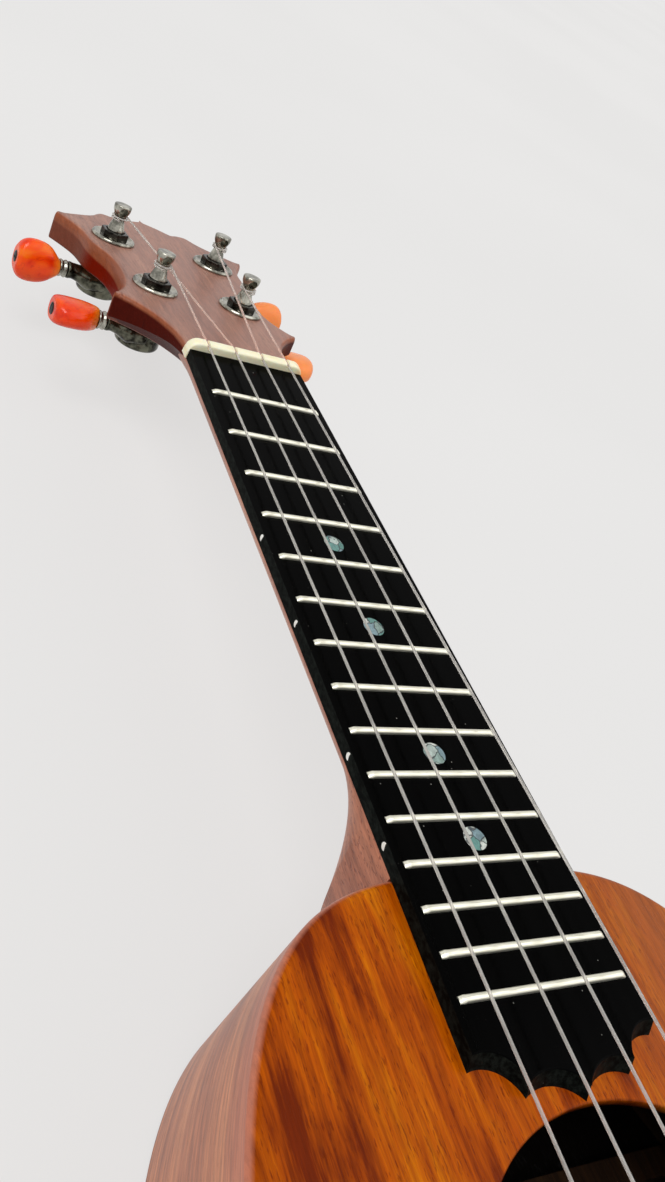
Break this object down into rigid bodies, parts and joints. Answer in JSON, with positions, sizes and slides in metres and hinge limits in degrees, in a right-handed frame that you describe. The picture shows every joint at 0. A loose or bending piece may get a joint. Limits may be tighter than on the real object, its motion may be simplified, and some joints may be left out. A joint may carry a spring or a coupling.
{
  "type": "pineapple ukulele",
  "caption": "Small ukulele with a rounded pineapple body, oval soundhole, scalloped fretboard and crown headstock with geared tuners that turn.",
  "frame": {"origin": "centre of the back's outer face, which the instrument rests on", "axes": "+Z out of the soundboard, +Y along the neck towards the headstock, +X towards the treble side"},
  "size_m": [0.161, 0.5296, 0.0586],
  "materials": {
    "koa": "gloss lacquer over striped orange-brown wood",
    "neck_wood": "satin pinkish brown with fine dark pores",
    "inner_wood": "bare sanded",
    "ebony": "gloss near-black",
    "bridge_wood": "oiled",
    "bone": "polished cream",
    "fret_wire": "polished",
    "tuner_metal": "dark polished",
    "button": "marbled translucent orange-red",
    "string": "clear"
  },
  "bodies": {
    "instrument": {"soundboard": "koa", "back": "koa", "rib_bass": "koa", "rib_treble": "koa", "head_block": "inner_wood", "tail_block": "inner_wood", "back_lining_bass": "inner_wood", "back_lining_treble": "inner_wood", "soundboard_lining_bass": "inner_wood", "soundboard_lining_treble": "inner_wood", "upper_soundboard_brace": "inner_wood", "lower_soundboard_brace": "inner_wood", "upper_back_brace": "inner_wood", "lower_back_brace": "inner_wood", "bridge_plate": "inner_wood", "bridge": "bridge_wood", "saddle": "bone", "neck": "neck_wood", "fretboard": "ebony", "nut": "bone", "fret_01": "fret_wire", "fret_02": "fret_wire", "fret_03": "fret_wire", "fret_04": "fret_wire", "fret_05": "fret_wire", "fret_06": "fret_wire", "fret_07": "fret_wire", "fret_08": "fret_wire", "fret_09": "fret_wire", "fret_10": "fret_wire", "fret_11": "fret_wire", "fret_12": "fret_wire", "fret_13": "fret_wire", "fret_14": "fret_wire", "fret_15": "fret_wire", "string_1": "string", "string_2": "string", "string_3": "string", "string_4": "string", "tuner_1_housing": "tuner_metal", "tuner_1_bushing": "tuner_metal", "tuner_2_housing": "tuner_metal", "tuner_2_bushing": "tuner_metal", "tuner_3_housing": "tuner_metal", "tuner_3_bushing": "tuner_metal", "tuner_4_housing": "tuner_metal", "tuner_4_bushing": "tuner_metal"},
    "tuner_1_post_body": {"tuner_1_post": "tuner_metal"},
    "tuner_1_shaft_body": {"tuner_1_shaft": "tuner_metal", "tuner_1_button": "button"},
    "tuner_2_post_body": {"tuner_2_post": "tuner_metal"},
    "tuner_2_shaft_body": {"tuner_2_shaft": "tuner_metal", "tuner_2_button": "button"},
    "tuner_3_post_body": {"tuner_3_post": "tuner_metal"},
    "tuner_3_shaft_body": {"tuner_3_shaft": "tuner_metal", "tuner_3_button": "button"},
    "tuner_4_post_body": {"tuner_4_post": "tuner_metal"},
    "tuner_4_shaft_body": {"tuner_4_shaft": "tuner_metal", "tuner_4_button": "button"}
  },
  "joints": [
    {"name": "tuner_1_button_turn", "type": "hinge", "parent": "instrument", "child": "tuner_1_shaft_body", "pos_m": [-0.016, 0.33259, 0.03178], "axis": [-1, 0, 0], "continuous": true},
    {"name": "tuner_1_post_turn", "type": "hinge", "parent": "instrument", "child": "tuner_1_post_body", "pos_m": [-0.016, 0.33926, 0.04449], "axis": [0, 0.1564, 0.9877], "continuous": true},
    {"name": "tuner_2_button_turn", "type": "hinge", "parent": "instrument", "child": "tuner_2_shaft_body", "pos_m": [-0.0198, 0.3721, 0.02552], "axis": [-1, 0, 0], "continuous": true},
    {"name": "tuner_2_post_turn", "type": "hinge", "parent": "instrument", "child": "tuner_2_post_body", "pos_m": [-0.0198, 0.37877, 0.03824], "axis": [0, 0.1564, 0.9877], "continuous": true},
    {"name": "tuner_3_button_turn", "type": "hinge", "parent": "instrument", "child": "tuner_3_shaft_body", "pos_m": [0.0198, 0.3721, 0.02552], "axis": [1, 0, 0], "continuous": true},
    {"name": "tuner_3_post_turn", "type": "hinge", "parent": "instrument", "child": "tuner_3_post_body", "pos_m": [0.0198, 0.37877, 0.03824], "axis": [0, 0.1564, 0.9877], "continuous": true},
    {"name": "tuner_4_button_turn", "type": "hinge", "parent": "instrument", "child": "tuner_4_shaft_body", "pos_m": [0.016, 0.33259, 0.03178], "axis": [1, 0, 0], "continuous": true},
    {"name": "tuner_4_post_turn", "type": "hinge", "parent": "instrument", "child": "tuner_4_post_body", "pos_m": [0.016, 0.33926, 0.04449], "axis": [0, 0.1564, 0.9877], "continuous": true}
  ],
  "couplings": [
    {"joint": "tuner_1_post_turn", "follows": "tuner_1_button_turn", "ratio": 0.071429},
    {"joint": "tuner_2_post_turn", "follows": "tuner_2_button_turn", "ratio": 0.071429},
    {"joint": "tuner_3_post_turn", "follows": "tuner_3_button_turn", "ratio": 0.071429},
    {"joint": "tuner_4_post_turn", "follows": "tuner_4_button_turn", "ratio": 0.071429}
  ]
}
